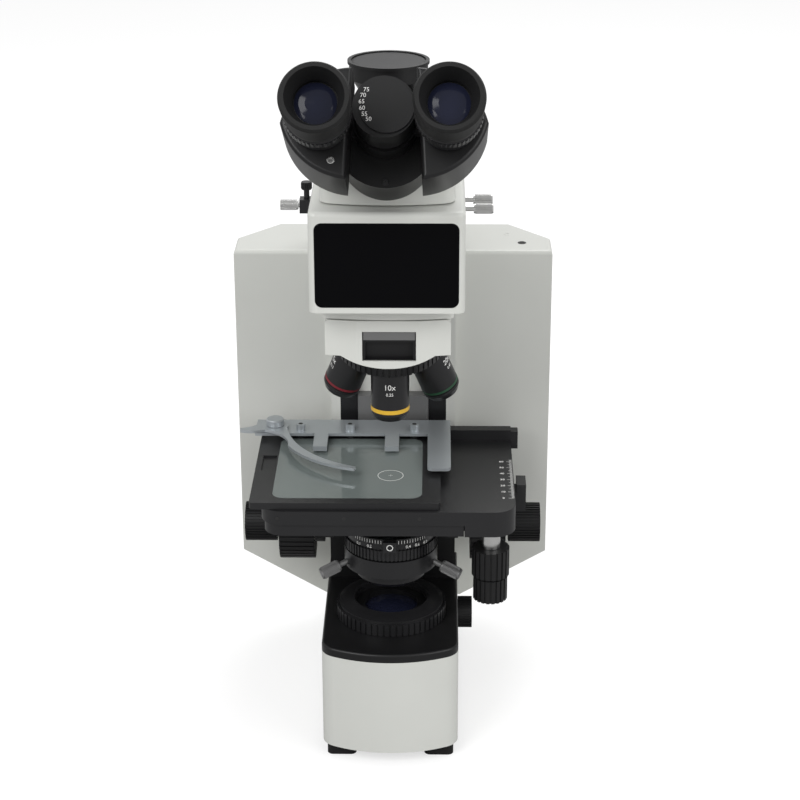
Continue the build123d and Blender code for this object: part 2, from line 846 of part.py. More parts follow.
right_eye = head_plane(wing_front, eye_spacing / 2, 0)
left_eye_axis = Axis(left_eye.origin, left_eye.z_dir)
right_eye_axis = Axis(right_eye.origin, right_eye.z_dir)

with BuildPart() as left_eyepiece:
    revolve(turned_profile(left_eye, eyepiece_section), left_eye_axis)

with BuildPart() as right_eyepiece:
    revolve(turned_profile(right_eye, eyepiece_section), right_eye_axis)

with BuildPart() as left_dioptre_ring:
    revolve(turned_profile(left_eye, dioptre_section), left_eye_axis)

with BuildPart() as right_dioptre_ring:
    revolve(turned_profile(right_eye, dioptre_section), right_eye_axis)

with BuildPart() as left_eyecup:
    revolve(turned_profile(left_eye, cup_section), left_eye_axis)

with BuildPart() as right_eyecup:
    revolve(turned_profile(right_eye, cup_section), right_eye_axis)

# Dust cap of the camera port
with BuildPart() as dust_cap:
    revolve(turned_profile(port_plane, [
        (0, port_top_z + gap),
        (port_flange_radius - port_skirt + gap, port_top_z + gap),
        (port_flange_radius - port_skirt + gap, port_top_z - 2.5),
        (port_flange_radius, port_top_z - 2.5),
        (port_flange_radius, cap_top_z - 2.0),
        (cap_radius, cap_top_z - 2.0),
        (cap_radius, cap_top_z),
        (cap_radius - cap_rim, cap_top_z),
        (cap_radius - cap_rim, cap_top_z - cap_recess),
        (0, cap_top_z - cap_recess),
    ]), port_axis)

# Push-pull rods on the right, and the clamped rod on the left
right_face = illuminator_width / 2


def rod_section():
    return [
        (0, -(rod_bore_depth - 1.0)),
        (rod_stem_radius, -(rod_bore_depth - 1.0)),
        (rod_stem_radius, rod_stem_length),
        (rod_head_radius, rod_stem_length),
        (rod_head_radius, rod_stem_length + rod_head_length),
        (0, rod_stem_length + rod_head_length),
    ]


front_rod_plane = Plane((right_face, front_rod_y, control_z), x_dir=(0, 1, 0), z_dir=(1, 0, 0))
back_rod_plane = Plane((right_face, back_rod_y, control_z), x_dir=(0, 1, 0), z_dir=(1, 0, 0))
left_rod_plane = Plane((-right_face - clamp_size, left_rod_y, control_z), x_dir=(0, 1, 0), z_dir=(-1, 0, 0))
with BuildPart() as front_push_rod:
    revolve(turned_profile(front_rod_plane, rod_section()), Axis(front_rod_plane.origin, (1, 0, 0)))

with BuildPart() as back_push_rod:
    revolve(turned_profile(back_rod_plane, rod_section()), Axis(back_rod_plane.origin, (1, 0, 0)))

with BuildPart() as left_rod:
    revolve(turned_profile(left_rod_plane, [
        (0, -(clamp_size + rod_bore_depth - 1.0)),
        (rod_stem_radius, -(clamp_size + rod_bore_depth - 1.0)),
        (rod_stem_radius, 1.0),
        (rod_head_radius, 1.0),
        (rod_head_radius, rod_head_length),
        (0, rod_head_length),
    ]), Axis(left_rod_plane.origin, (-1, 0, 0)))

with BuildPart() as clamp_block:
    with BuildSketch(Plane(origin=(-right_face, left_rod_y, control_z), x_dir=(0, 1, 0), z_dir=(-1, 0, 0))):
        Rectangle(clamp_size, clamp_size)
        Circle(rod_stem_radius + shaft_play, mode=Mode.SUBTRACT)
    extrude(amount=clamp_size)
    with BuildSketch(Plane.XY.offset(control_z + clamp_size / 2)):
        with Locations((-right_face - clamp_size / 2, left_rod_y)):
            Circle(clamp_screw_radius + shaft_play)
    extrude(amount=-(clamp_size / 2 - rod_stem_radius - shaft_play), mode=Mode.SUBTRACT)

with BuildPart() as clamp_screw:
    clamp_plane = Plane((-right_face - clamp_size / 2, left_rod_y, control_z + clamp_size / 2))
    revolve(turned_profile(clamp_plane, [
        (0, -1.8),
        (clamp_screw_radius, -1.8),
        (clamp_screw_radius, clamp_screw_height - 5.0),
        (clamp_knob_radius, clamp_screw_height - 5.0),
        (clamp_knob_radius, clamp_screw_height),
        (0, clamp_screw_height),
    ]), Axis(clamp_plane.origin, (0, 0, 1)))

# Field ring round the collector lens, and the lamp dial
ring_base = Plane((0, 0, deck_top_z))
with BuildPart() as field_lens:
    revolve(turned_profile(ring_base, [
        (0, 0),
        (collar_radius - collar_wall - seat_play, 0),
        (collar_radius - collar_wall - seat_play, field_lens_height - 2.0),
        ((collar_radius - collar_wall) / 2, field_lens_height - 0.5),
        (0, field_lens_height),
    ]), Axis((0, 0, 0), (0, 0, 1)))

with BuildPart() as field_ring:
    extrude(fluted_disc(ring_base.offset(gap), field_ring_radius, field_ring_flutes), field_ring_height - 1.0)
    revolve(turned_profile(ring_base, [
        (collar_radius + shaft_play + gap, field_ring_height - 0.7),
        (field_groove_radius, field_ring_height - 0.7),
        (field_groove_radius, field_ring_height + 1.0),
        (field_groove_radius - 3.0, field_ring_height + 2.0),
        (field_opening_radius + 1.0, field_ring_height + field_cone_rise + 1.0),
        (field_opening_radius, field_ring_height + field_cone_rise),
    ]), Axis((0, 0, 0), (0, 0, 1)))
    with BuildSketch(ring_base.offset(gap)):
        Circle(collar_radius + shaft_play)
    extrude(amount=field_ring_height + field_cone_rise + 5.0, mode=Mode.SUBTRACT)

with BuildPart() as intensity_dial:
    dial_plane = Plane((base_width / 2 + gap, dial_y, dial_z), x_dir=(0, 1, 0), z_dir=(1, 0, 0))
    extrude(fluted_disc(dial_plane, dial_radius, knob_flutes), dial_length)
    with BuildSketch(dial_plane):
        Circle(dial_shaft_radius)
    extrude(amount=-(dial_length - 1.0))

# Focus drive: tube shaft with the coarse knobs, inner shaft with the fine knobs
left_side = Plane((0, knob_y, knob_z), x_dir=(0, 1, 0), z_dir=(-1, 0, 0))
right_side = Plane((0, knob_y, knob_z), x_dir=(0, 1, 0), z_dir=(1, 0, 0))
coarse_end = coarse_start_x + coarse_length
with BuildPart() as coarse_knobs:
    extrude(ring_profile(left_side.offset(-coarse_end), coarse_shaft_radius, fine_shaft_radius + shaft_play),
            2 * coarse_end)
    for side_plane in (left_side, right_side):
        extrude(fluted_disc(side_plane.offset(coarse_start_x), coarse_radius, knob_flutes), coarse_length)
    with BuildSketch(left_side.offset(-coarse_end)):
        Circle(fine_shaft_radius + shaft_play)
    extrude(amount=2 * coarse_end, mode=Mode.SUBTRACT)

with BuildPart() as fine_knobs:
    with BuildSketch(left_side.offset(-fine_start_x)):
        Circle(fine_shaft_radius)
    extrude(amount=2 * fine_start_x)
    for side_plane in (left_side, right_side):
        extrude(fluted_disc(side_plane.offset(fine_start_x), fine_radius, knob_flutes), fine_length)

# Focus carriage and the yoke that carries the stage and the condenser
with BuildPart() as focus_carriage:
    extrude(box_plan(Plane.XY.offset(carriage_bottom_z), -carriage_width / 2, carriage_width / 2,
                     carriage_front_y, carriage_back_y), carriage_top_z - carriage_bottom_z)

with BuildPart() as stage_bracket:
    extrude(box_plan(Plane.XY.offset(bracket_bottom_z), -bracket_width / 2, bracket_width / 2,
                     bracket_front_y, carriage_front_y), stage_base_bottom_z - bracket_bottom_z)
    for side in (-1, 1):
        cheek_outer = side * bracket_width / 2
        cheek_inner = side * (bracket_width / 2 - cheek_width)
        extrude(box_plan(Plane.XY.offset(cheek_bottom_z), min(cheek_outer, cheek_inner),
                         max(cheek_outer, cheek_inner), cheek_front_y, bracket_front_y + 2.0),
                stage_base_bottom_z - cheek_bottom_z)
    # upright rail that the condenser slides on
    extrude(box_plan(Plane.XY.offset(rail_bottom_z), -rail_width / 2, rail_width / 2, rail_front, rail_back),
            bracket_bottom_z - rail_bottom_z)

# Stage
with BuildPart() as stage_base:
    stage_base_top = stage_base_bottom_z + stage_base_height
    extrude(box_plan(Plane.XY.offset(stage_base_bottom_z), stage_left_x, stage_right_x, stage_front_y,
                     stage_back_y), stage_base_height)
    fillet(stage_base.edges().filter_by(Axis.Z).group_by(Axis.Y)[0], stage_corner_radius)
    # room for the drive housing of the plate above and its travel
    extrude(box_plan(Plane.XY.offset(stage_base_bottom_z), drive_left_x - 2 * gap, stage_right_x + 5.0,
                     stage_front_y - 5.0, drive_back_y + travel_back + 1.0), stage_base_height,
            mode=Mode.SUBTRACT)
    with BuildSketch(Plane.XY.offset(stage_base_bottom_z)):
        Circle(condenser_opening_radius)
    extrude(amount=stage_base_height, mode=Mode.SUBTRACT)
    # block on the right side, with an upright lug that clears the plate
    side_back_y = side_block_y + side_block_width
    extrude(box_plan(Plane.XY.offset(side_block_bottom_z), stage_right_x, side_block_start_x + side_block_reach,
                     side_block_y, side_back_y), stage_base_top - side_block_bottom_z)
    extrude(box_plan(Plane.XY.offset(side_block_bottom_z), side_block_start_x,
                     side_block_start_x + side_block_reach, side_block_y, side_back_y),
            side_block_top_z - side_block_bottom_z)

with BuildPart() as y_plate:
    extrude(box_plan(Plane.XY.offset(y_plate_bottom_z), y_plate_left_x, y_plate_right_x, y_plate_front_y,
                     y_plate_back_y), y_plate_top_z - y_plate_bottom_z)
    fillet(y_plate.edges().filter_by(Axis.Z).group_by(Axis.Y)[0], stage_corner_radius + 2.0)
    extrude(box_plan(Plane.XY.offset(y_plate_bottom_z), -y_slot_half_width, y_slot_half_width, y_slot_front,
                     y_slot_back), y_plate_top_z - y_plate_bottom_z, mode=Mode.SUBTRACT)
    # housing of the coaxial drive under the right front corner
    corner_radius = stage_corner_radius + 2.0
    with BuildSketch(Plane.XY.offset(stage_base_bottom_z)):
        with BuildLine():
            Polyline(
                (y_plate_right_x - corner_radius, y_plate_front_y),
                (drive_left_x, y_plate_front_y),
                (drive_left_x, drive_back_y),
                (y_plate_right_x, drive_back_y),
                (y_plate_right_x, y_plate_front_y + corner_radius),
            )
            TangentArc((y_plate_right_x, y_plate_front_y + corner_radius),
                       (y_plate_right_x - corner_radius, y_plate_front_y), tangent=(0, -1))
        make_face()
        with Locations((drive_x, drive_y)):
            Circle(drive_tube_radius + shaft_play, mode=Mode.SUBTRACT)
    extrude(amount=y_plate_bottom_z - stage_base_bottom_z)
    # guide rail of the upper plate along the back, with an end block
    extrude(box_plan(Plane.XY.offset(y_plate_top_z), rail_left_x, y_plate_right_x, rail_front_y,
                     rail_front_y + rail_depth), rail_top_z - y_plate_top_z)
    extrude(box_plan(Plane.XY.offset(y_plate_top_z - rail_end_drop), y_plate_right_x,
                     y_plate_right_x + rail_end_length, rail_front_y, rail_front_y + rail_depth),
            rail_top_z - y_plate_top_z + rail_end_drop - 1.0)

x_plate_back_y = rail_front_y - gap
glass_right_x = glass_left_x + glass_size
glass_back_y = glass_front_y + glass_size
glass_bottom_z = x_plate_top_z - glass_thickness
with BuildPart() as x_plate:
    extrude(box_plan(Plane.XY.offset(x_plate_bottom_z), x_plate_left_x, x_plate_right_x, x_plate_front_y,
                     x_plate_back_y), x_plate_thickness)
    fillet(x_plate.edges().filter_by(Axis.Z).group_by(Axis.Y)[0], x_plate_corner)
    # window under the glass, and the step that the glass lies on
    extrude(box_plan(Plane.XY.offset(x_plate_bottom_z), glass_left_x + glass_ledge, glass_right_x - glass_ledge,
                     glass_front_y + glass_ledge, glass_back_y - glass_ledge), x_plate_thickness,
            mode=Mode.SUBTRACT)
    with BuildSketch(Plane.XY.offset(glass_bottom_z)):
        with Locations(((glass_left_x + glass_right_x) / 2, (glass_front_y + glass_back_y) / 2)):
            RectangleRounded(glass_size + 2 * seat_play, glass_size + 2 * seat_play, glass_corner)
    extrude(amount=glass_thickness, mode=Mode.SUBTRACT)
    # shallow finger recess beside the glass
    extrude(box_plan(Plane.XY.offset(x_plate_top_z - 1.5), x_plate_left_x + 4.0, glass_left_x - 1.0, 8.0, 33.0),
            1.5, mode=Mode.SUBTRACT)
    # pillars carry the specimen holder
    with BuildSketch(Plane.XY.offset(x_plate_top_z)):
        with Locations(*[(x, pillar_y) for x in pillar_x]):
            Circle(pillar_radius)
    extrude(amount=holder_bottom_z - x_plate_top_z)

with BuildPart() as stage_glass:
    with BuildSketch(Plane.XY.offset(glass_bottom_z)):
        with Locations(((glass_left_x + glass_right_x) / 2, (glass_front_y + glass_back_y) / 2)):
            RectangleRounded(glass_size, glass_size, glass_corner)
    extrude(amount=glass_thickness)

# Specimen holder: a bar with two tongues and a foot that reaches forward on the right
with BuildPart() as specimen_holder:
    with BuildSketch(Plane.XY.offset(holder_bottom_z)):
        with Locations(((holder_left_x + holder_right_x) / 2, (holder_front_y + holder_back_y) / 2)):
            Rectangle(holder_right_x - holder_left_x, holder_back_y - holder_front_y)
        with Locations(((holder_foot_left_x + holder_right_x) / 2, (holder_foot_y + holder_back_y) / 2)):
            Rectangle(holder_right_x - holder_foot_left_x, holder_back_y - holder_foot_y)
        for tab_x in holder_tab_x:
            with Locations((tab_x, (holder_tab_y + holder_front_y) / 2 + 1.0)):
                Rectangle(holder_tab_width, holder_front_y - holder_tab_y + 2.0)
    extrude(amount=holder_thickness)
    fillet(specimen_holder.edges().filter_by(Axis.Z).group_by(Axis.Y)[0], holder_corner)
    # step under each tongue, which holds the specimen's back edge
    for tab_x in holder_tab_x:
        extrude(box_plan(Plane.XY.offset(holder_bottom_z - 1.6), tab_x - holder_tab_width / 2,
                         tab_x + holder_tab_width / 2, holder_tab_y, holder_tab_y + 2.0), 1.6)
    # screw heads, and the pivot screw of the lever
    with BuildSketch(Plane.XY.offset(holder_top_z)):
        with Locations(*[(x, pillar_y) for x in pillar_x]):
            Circle(screw_head_radius)
    extrude(amount=screw_head_height)
    pivot_head_z = lever_bottom_z + lever_thickness + gap
    revolve(turned_profile(Plane((clip_pivot_x, clip_pivot_y, 0)), [
        (0, holder_bottom_z),
        (clip_pin_radius, holder_bottom_z),
        (clip_pin_radius, pivot_head_z),
        (clip_knob_radius, pivot_head_z),
        (clip_knob_radius, pivot_head_z + clip_knob_height - 0.6),
        (clip_knob_radius - 0.6, pivot_head_z + clip_knob_height),
        (0, pivot_head_z + clip_knob_height),
    ]), Axis((clip_pivot_x, clip_pivot_y, 0), (0, 0, 1)))

# Curved lever: a short tail to the left and a long sickle-shaped finger over the glass
with BuildPart() as clip_lever:
    with BuildSketch(Plane.XY.offset(lever_bottom_z)):
        with BuildLine():
            ThreePointArc((-107.5, 60.5), (-99.0, 59.0), (-90.0, 61.5))
            ThreePointArc((-90.0, 61.5), (-80.0, 55.0), (-72.0, 34.0))
            ThreePointArc((-72.0, 34.0), (-53.0, 9.5), (-24.5, -5.5))
            Line((-24.5, -5.5), (-23.5, -2.5))
            ThreePointArc((-23.5, -2.5), (-49.0, 14.0), (-66.0, 37.0))
            ThreePointArc((-66.0, 37.0), (-71.5, 51.0), (-74.5, 66.0))
            ThreePointArc((-74.5, 66.0), (-78.5, 77.5), (-91.0, 76.0))
            ThreePointArc((-91.0, 76.0), (-98.0, 68.5), (-107.5, 63.5))
            Line((-107.5, 63.5), (-107.5, 60.5))
        make_face()
        with Locations((clip_pivot_x, clip_pivot_y)):
            Circle(clip_pin_radius + shaft_play, mode=Mode.SUBTRACT)
    extrude(amount=lever_thickness)

# Coaxial stage drive: outer tube with the upper knob, inner shaft with the lower one
drive_plane = Plane((drive_x, drive_y, 0))
y_knob_bottom_z = y_knob_top_z - y_knob_length
x_knob_bottom_z = x_knob_top_z - x_knob_length
with BuildPart() as y_drive_knob:
    with BuildSketch(drive_plane.offset(y_knob_bottom_z)):
        Circle(drive_tube_radius)
    extrude(amount=y_plate_bottom_z - gap - y_knob_bottom_z)
    extrude(fluted_disc(drive_plane.offset(y_knob_bottom_z), y_knob_radius, knob_flutes // 2), y_knob_length)
    with BuildSketch(drive_plane.offset(y_knob_bottom_z)):
        Circle(drive_shaft_radius + shaft_play)
    extrude(amount=y_plate_bottom_z - gap - y_knob_bottom_z, mode=Mode.SUBTRACT)

with BuildPart() as x_drive_knob:
    with BuildSketch(drive_plane.offset(x_knob_bottom_z)):
        Circle(drive_shaft_radius)
    extrude(amount=y_plate_bottom_z - gap - x_knob_bottom_z)
    extrude(fluted_disc(drive_plane.offset(x_knob_bottom_z), x_knob_radius, knob_flutes // 2), x_knob_length)

# Condenser
condenser_axis = Axis((0, 0, 0), (0, 0, 1))
aperture_top_z = aperture_bottom_z + aperture_height
scale_bottom_z = aperture_top_z + gap
scale_top_z = scale_bottom_z + scale_height
neck_radius = condenser_body_radius - 6.0
with BuildPart() as condenser_body:
    revolve(turned_profile(Plane.XY, [
        (0, condenser_bottom_z),
        (condenser_body_radius - 3.0, condenser_bottom_z),
        (condenser_body_radius, condenser_bottom_z + 3.0),
        (condenser_body_radius, aperture_bottom_z - gap),
        (neck_radius, aperture_bottom_z - gap),
        (neck_radius, scale_bottom_z),
        (scale_radius - 2.0, scale_bottom_z),
        (scale_radius, scale_top_z),
        (lens_radius + seat_play, scale_top_z),
        (lens_radius + seat_play, scale_bottom_z),
        (0, scale_bottom_z),
    ]), condenser_axis)
    # index tab in front of the scale
    extrude(box_plan(Plane.XY.offset(scale_bottom_z + 0.7), -tab_width / 2, tab_width / 2,
                     -scale_radius - tab_depth, -scale_radius + 2.5), scale_height - 1.4)

with BuildPart() as aperture_ring:
    extrude(fluted_disc(Plane.XY.offset(aperture_bottom_z), aperture_radius, aperture_flutes), aperture_height)
    with BuildSketch(Plane.XY.offset(aperture_bottom_z)):
        Circle(neck_radius + shaft_play)
    extrude(amount=aperture_height, mode=Mode.SUBTRACT)

with BuildPart() as condenser_lens:
    revolve(turned_profile(Plane.XY, [
        (0, scale_bottom_z),
        (lens_radius, scale_bottom_z),
        (lens_radius, scale_top_z + lens_height - 2.0),
        (lens_radius * 0.6, scale_top_z + lens_height - 0.5),
        (0, scale_top_z + lens_height),
    ]), condenser_axis)


def centring_plane(side):
    swing = radians(centring_swing)
    drop = radians(centring_tilt)
    out = Vector(side * cos(drop) * cos(swing), -cos(drop) * sin(swing), -sin(drop))
    return Plane(Vector(0, 0, centring_axis_z) + out * centring_start, x_dir=out.cross(Vector(0, 0, 1)), z_dir=out)


centring_section = [
    (0, 0),
    (centring_stem_radius, 0),
    (centring_stem_radius, centring_stem_length),
    (centring_head_radius - 0.5, centring_stem_length),
    (centring_head_radius, centring_stem_length + 0.5),
    (centring_head_radius, centring_stem_length + centring_head_length - 0.5),
    (centring_head_radius - 0.5, centring_stem_length + centring_head_length),
    (0, centring_stem_length + centring_head_length),
]
with BuildPart() as condenser_carrier:
    extrude(ring_profile(Plane.XY.offset(carrier_bottom_z), carrier_radius, condenser_body_radius + seat_play),
            carrier_top_z - carrier_bottom_z)
    extrude(box_plan(Plane.XY.offset(carrier_bottom_z), -carrier_arm_width / 2, carrier_arm_width / 2,
                     carrier_radius - 4.0, rail_front - gap), carrier_top_z - carrier_bottom_z)
    for side in (-1, 1):
        with BuildSketch(centring_plane(side).offset(-0.5)):
            Circle(centring_stem_radius + shaft_play)
        extrude(amount=20.0, mode=Mode.SUBTRACT)
    with BuildSketch(Plane((-carrier_arm_width / 2 - 1.0, height_knob_y, height_knob_z), x_dir=(0, 1, 0),
                           z_dir=(1, 0, 0))):
        Circle(height_shaft_radius + shaft_play)
    extrude(amount=8.0, mode=Mode.SUBTRACT)

with BuildPart() as centring_screws:
    for side in (-1, 1):
        revolve(turned_profile(centring_plane(side), centring_section),
                Axis(centring_plane(side).origin, centring_plane(side).z_dir))

with BuildPart() as condenser_knob:
    with BuildSketch(Plane((-height_knob_x, height_knob_y, height_knob_z), x_dir=(0, 1, 0), z_dir=(-1, 0, 0))):
        Circle(height_knob_radius)
    extrude(amount=height_knob_length)
    with BuildSketch(Plane((-height_knob_x, height_knob_y, height_knob_z), x_dir=(0, 1, 0), z_dir=(-1, 0, 0))):
        Circle(height_shaft_radius)
    extrude(amount=-(height_knob_x - carrier_arm_width / 2 + 6.0))

pieces = {
    "base_casting": base_casting,
    "base_deck": base_deck,
    "feet": feet,
    "column": column,
    "focus_guides": focus_guides,
    "focus_block": focus_block,
    "rear_housing": rear_housing,
    "rear_cover": rear_cover,
    "rear_fittings": rear_fittings,
    "switch_rocker": switch_rocker,
    "upper_arm": upper_arm,
    "nosepiece_arm": nosepiece_arm,
    "slider": slider,
    "nosepiece_mount": nosepiece_mount,
    "turret": turret,
    "objective_10x": objective_10x,
    "objective_5x": objective_5x,
    "objective_100x": objective_100x,
    "objective_50x": objective_50x,
    "objective_20x": objective_20x,
    "illuminator_housing": illuminator_housing,
    "display_panel": display_panel,
    "head_base": head_base,
    "tube_body": tube_body,
    "interpupillary_dial": interpupillary_dial,
    "left_prism_housing": left_prism_housing,
    "right_prism_housing": right_prism_housing,
    "left_eyepiece": left_eyepiece,
    "right_eyepiece": right_eyepiece,
    "left_dioptre_ring": left_dioptre_ring,
    "right_dioptre_ring": right_dioptre_ring,
    "left_eyecup": left_eyecup,
    "right_eyecup": right_eyecup,
    "dust_cap": dust_cap,
    "front_push_rod": front_push_rod,
    "back_push_rod": back_push_rod,
    "left_rod": left_rod,
    "clamp_block": clamp_block,
    "clamp_screw": clamp_screw,
    "field_lens": field_lens,
    "field_ring": field_ring,
    "intensity_dial": intensity_dial,
    "coarse_knobs": coarse_knobs,
    "fine_knobs": fine_knobs,
    "focus_carriage": focus_carriage,
    "stage_bracket": stage_bracket,
    "stage_base": stage_base,
    "y_plate": y_plate,
    "x_plate": x_plate,
    "stage_glass": stage_glass,
    "specimen_holder": specimen_holder,
    "clip_lever": clip_lever,
    "y_drive_knob": y_drive_knob,
    "x_drive_knob": x_drive_knob,
    "condenser_body": condenser_body,
    "condenser_carrier": condenser_carrier,
    "aperture_ring": aperture_ring,
    "condenser_lens": condenser_lens,
    "centring_screws": centring_screws,
    "condenser_knob": condenser_knob,
}
os.makedirs("parts", exist_ok=True)
for name, piece in pieces.items():
    piece.part.label = name
    export_step(piece.part, f"parts/{name}.step")
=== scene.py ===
from math import cos, pi, radians, sin

import bmesh
import bpy
from mathutils import Matrix, Vector


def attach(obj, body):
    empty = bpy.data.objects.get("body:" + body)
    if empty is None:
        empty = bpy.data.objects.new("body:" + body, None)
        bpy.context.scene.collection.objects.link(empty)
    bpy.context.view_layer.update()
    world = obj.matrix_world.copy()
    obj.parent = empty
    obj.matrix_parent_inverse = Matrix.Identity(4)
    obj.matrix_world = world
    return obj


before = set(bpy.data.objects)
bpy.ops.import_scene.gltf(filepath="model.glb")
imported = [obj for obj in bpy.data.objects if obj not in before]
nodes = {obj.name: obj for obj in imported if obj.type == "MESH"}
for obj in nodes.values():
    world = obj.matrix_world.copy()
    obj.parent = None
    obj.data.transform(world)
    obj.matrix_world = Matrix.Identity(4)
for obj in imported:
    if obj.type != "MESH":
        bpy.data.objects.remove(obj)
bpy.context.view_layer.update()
scene = bpy.context.scene
mm = 0.001  # piece sizes below are in millimetres
weldGap = 1e-7  # metres; corners closer than this become one
upward = Vector((0, 0, 1))
towardsViewer = Vector((0, -1, 0))
print("frame loaded:", len(nodes), "nodes")

# linear colours; shift is how far the colour wanders, grain and bump give the surface its fine texture
finishes = {
    "warmPaint": {"color": (0.600, 0.608, 0.575), "shift": 0.05, "rough": 0.40, "grain": 900, "bump": 0.04,
                  "coat": 0.15},
    "blackPaint": {"color": (0.008, 0.008, 0.0085), "shift": 0.25, "rough": 0.36, "grain": 1400, "bump": 0.10,
                   "gloss": 0.3},
    "mattePlastic": {"color": (0.008, 0.008, 0.0085), "shift": 0.3, "rough": 0.45, "grain": 2200,
                     "bump": 0.18, "gloss": 0.3},
    "anodised": {"color": (0.012, 0.012, 0.013), "shift": 0.2, "rough": 0.30, "grain": 3000, "bump": 0.06,
                 "gloss": 0.35},
    "stageTop": {"color": (0.015, 0.015, 0.016), "shift": 0.2, "rough": 0.40, "grain": 3500, "bump": 0.08,
                 "gloss": 0.3},
    "cupRubber": {"color": (0.010, 0.010, 0.010), "shift": 0.3, "rough": 0.62, "grain": 1800, "bump": 0.2,
                  "gloss": 0.25},
    "glossDisplay": {"color": (0.0025, 0.0025, 0.003), "shift": 0.1, "rough": 0.08, "grain": 60, "bump": 0.0,
                     "gloss": 0.04},
    "satinHolder": {"color": (0.42, 0.45, 0.47), "shift": 0.08, "rough": 0.34, "grain": 2600, "bump": 0.05,
                    "metal": 0.6},
    "turnedSteel": {"color": (0.62, 0.62, 0.61), "shift": 0.08, "rough": 0.24, "grain": 1500, "bump": 0.05,
                    "metal": 1.0, "stretch": (1, 1, 12)},
    "slideGrey": {"color": (0.17, 0.17, 0.17), "shift": 0.1, "rough": 0.4, "grain": 1500, "bump": 0.05,
                  "metal": 0.4},
    "stageGlass": {"color": (0.26, 0.30, 0.29), "shift": 0.05, "rough": 0.05, "grain": 20, "bump": 0.0,
                   "clear": 0.45},
    "clearLens": {"color": (0.70, 0.74, 0.74), "shift": 0.03, "rough": 0.03, "grain": 20, "bump": 0.0,
                  "clear": 0.8},
    "coatedLens": {"color": (0.012, 0.014, 0.030), "shift": 0.5, "rough": 0.10, "grain": 60, "bump": 0.0,
                   "gloss": 0.2},
    "whiteInk": {"color": (0.80, 0.80, 0.78), "shift": 0.04, "rough": 0.5, "grain": 900, "bump": 0.02},
    # dark finish of small screws, also used as painted shade in the holder's screw sockets
    "darkScrewAndSocketShade": {"color": (0.010, 0.010, 0.010), "shift": 0.2, "rough": 0.6, "grain": 900, "bump": 0.02},
    "yellowBand": {"color": (0.70, 0.42, 0.03), "shift": 0.05, "rough": 0.4, "grain": 900, "bump": 0.02},
    "redBand": {"color": (0.16, 0.006, 0.014), "shift": 0.08, "rough": 0.4, "grain": 900, "bump": 0.02},
    "greenBand": {"color": (0.008, 0.055, 0.022), "shift": 0.08, "rough": 0.4, "grain": 900, "bump": 0.02},
    "blueBand": {"color": (0.06, 0.32, 0.60), "shift": 0.05, "rough": 0.4, "grain": 900, "bump": 0.02},
    "capDisc": {"color": (0.022, 0.022, 0.023), "shift": 0.1, "rough": 0.5, "grain": 2600, "bump": 0.12,
                "gloss": 0.25},
}
# noise for colour and roughness, and fine grain for the bump, whose depth is in metres
texture = {"cloudScale": 14, "cloudDetail": 4, "grainDetail": 2, "roughSwing": 0.12, "bumpDepth": 0.0002}


def makeFinish(name, look):
    material = bpy.data.materials.new(name)
    material.use_nodes = True
    tree = material.node_tree
    shader = tree.nodes["Principled BSDF"]
    place = tree.nodes.new("ShaderNodeTexCoord")
    stretch = tree.nodes.new("ShaderNodeMapping")
    stretch.inputs["Scale"].default_value = look.get("stretch", (1, 1, 1))
    cloud = tree.nodes.new("ShaderNodeTexNoise")
    cloud.inputs["Scale"].default_value = texture["cloudScale"]
    cloud.inputs["Detail"].default_value = texture["cloudDetail"]
    grain = tree.nodes.new("ShaderNodeTexNoise")
    grain.inputs["Scale"].default_value = look["grain"]
    grain.inputs["Detail"].default_value = texture["grainDetail"]
    tint = tree.nodes.new("ShaderNodeMix")
    tint.data_type = "RGBA"
    darker = [c * (1 - look["shift"]) for c in look["color"]]
    lighter = [min(1.0, c * (1 + look["shift"])) for c in look["color"]]
    # sockets 6 and 7 are the two colours of the mix
    tint.inputs[6].default_value = (*darker, 1)
    tint.inputs[7].default_value = (*lighter, 1)
    spread = tree.nodes.new("ShaderNodeMapRange")
    spread.inputs["To Min"].default_value = look["rough"] * (1 - texture["roughSwing"])
    spread.inputs["To Max"].default_value = min(1.0, look["rough"] * (1 + texture["roughSwing"]))
    link = tree.links.new
    link(place.outputs["Object"], stretch.inputs["Vector"])
    link(stretch.outputs["Vector"], cloud.inputs["Vector"])
    link(stretch.outputs["Vector"], grain.inputs["Vector"])
    link(cloud.outputs["Fac"], tint.inputs[0])
    link(tint.outputs[2], shader.inputs["Base Color"])
    link(cloud.outputs["Fac"], spread.inputs["Value"])
    link(spread.outputs["Result"], shader.inputs["Roughness"])
    if look["bump"] > 0:
        bump = tree.nodes.new("ShaderNodeBump")
        bump.inputs["Strength"].default_value = look["bump"]
        bump.inputs["Distance"].default_value = texture["bumpDepth"]
        link(grain.outputs["Fac"], bump.inputs["Height"])
        link(bump.outputs["Normal"], shader.inputs["Normal"])
    shader.inputs["Metallic"].default_value = look.get("metal", 0.0)
    shader.inputs["Specular IOR Level"].default_value = look.get("gloss", 0.5)
    shader.inputs["Coat Weight"].default_value = look.get("coat", 0.0)
    shader.inputs["Transmission Weight"].default_value = look.get("clear", 0.0)
    return material


finish = {name: makeFinish(name, look) for name, look in finishes.items()}

